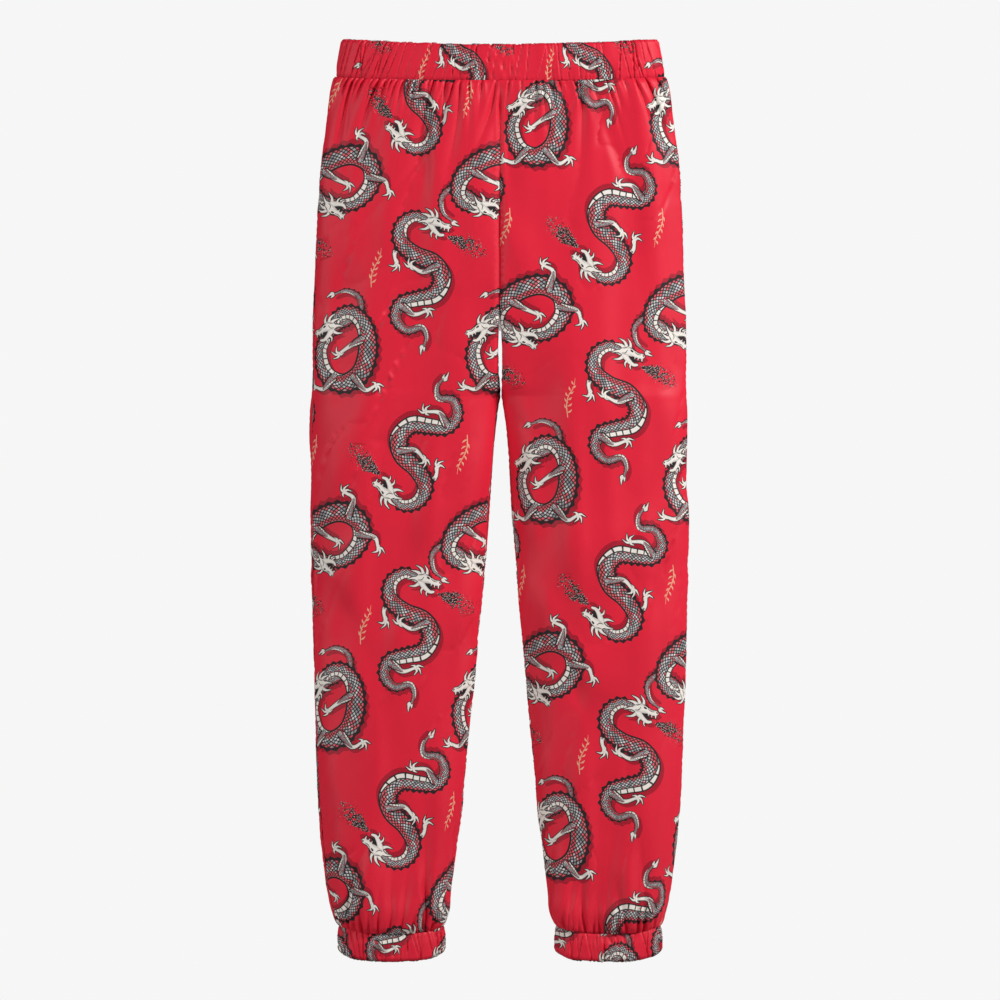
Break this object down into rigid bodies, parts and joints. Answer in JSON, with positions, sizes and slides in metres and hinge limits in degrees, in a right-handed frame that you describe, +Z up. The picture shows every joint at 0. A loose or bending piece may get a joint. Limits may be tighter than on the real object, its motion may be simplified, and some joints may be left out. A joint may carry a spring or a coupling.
{
  "type": "pull-on trousers",
  "caption": "Child's pull-on trousers in printed red satin cloth, with a gathered elastic waistband and gathered elastic ankle cuffs; each leg swings at the hip.",
  "frame": {"origin": "middle of the waist opening, level with the top edge of the waistband", "axes": "+Z up towards the waist, -Y towards the front, +X towards the wearer's left leg"},
  "size_m": [0.3188, 0.0606, 0.778],
  "materials": {
    "printed_satin": "red satin-weave polyester with an all-over serpent print, soft sheen",
    "printed_satin_band": "the same printed satin, folded and gathered over elastic",
    "elastic": "woven ribbed elastic, off-white, matt",
    "overlock_thread": "red polyester overlock thread over trimmed cloth edges, matt",
    "label": "blank white woven ribbon, soft satin"
  },
  "bodies": {
    "hips": {"waistband_front": "printed_satin_band", "waistband_back": "printed_satin_band", "waist_elastic": "elastic", "waist_seam": "overlock_thread", "left_front_hip": "printed_satin", "right_front_hip": "printed_satin", "left_back_hip": "printed_satin", "right_back_hip": "printed_satin", "centre_front_seam": "overlock_thread", "centre_back_seam": "overlock_thread", "left_side_seam_hip": "overlock_thread", "right_side_seam_hip": "overlock_thread", "care_label": "label"},
    "left_leg": {"left_front_leg": "printed_satin", "left_back_leg": "printed_satin", "left_side_seam_leg": "overlock_thread", "left_inseam": "overlock_thread", "left_cuff": "printed_satin_band", "left_cuff_elastic": "elastic", "left_cuff_seam": "overlock_thread"},
    "right_leg": {"right_front_leg": "printed_satin", "right_back_leg": "printed_satin", "right_side_seam_leg": "overlock_thread", "right_inseam": "overlock_thread", "right_cuff": "printed_satin_band", "right_cuff_elastic": "elastic", "right_cuff_seam": "overlock_thread"}
  },
  "joints": [
    {"name": "left_leg_swing", "type": "hinge", "parent": "hips", "child": "left_leg", "pos_m": [0.08, 0, -0.313], "axis": [-1, 0, 0], "range_deg": [-30, 45]},
    {"name": "right_leg_swing", "type": "hinge", "parent": "hips", "child": "right_leg", "pos_m": [-0.08, 0, -0.313], "axis": [-1, 0, 0], "range_deg": [-30, 45]}
  ]
}
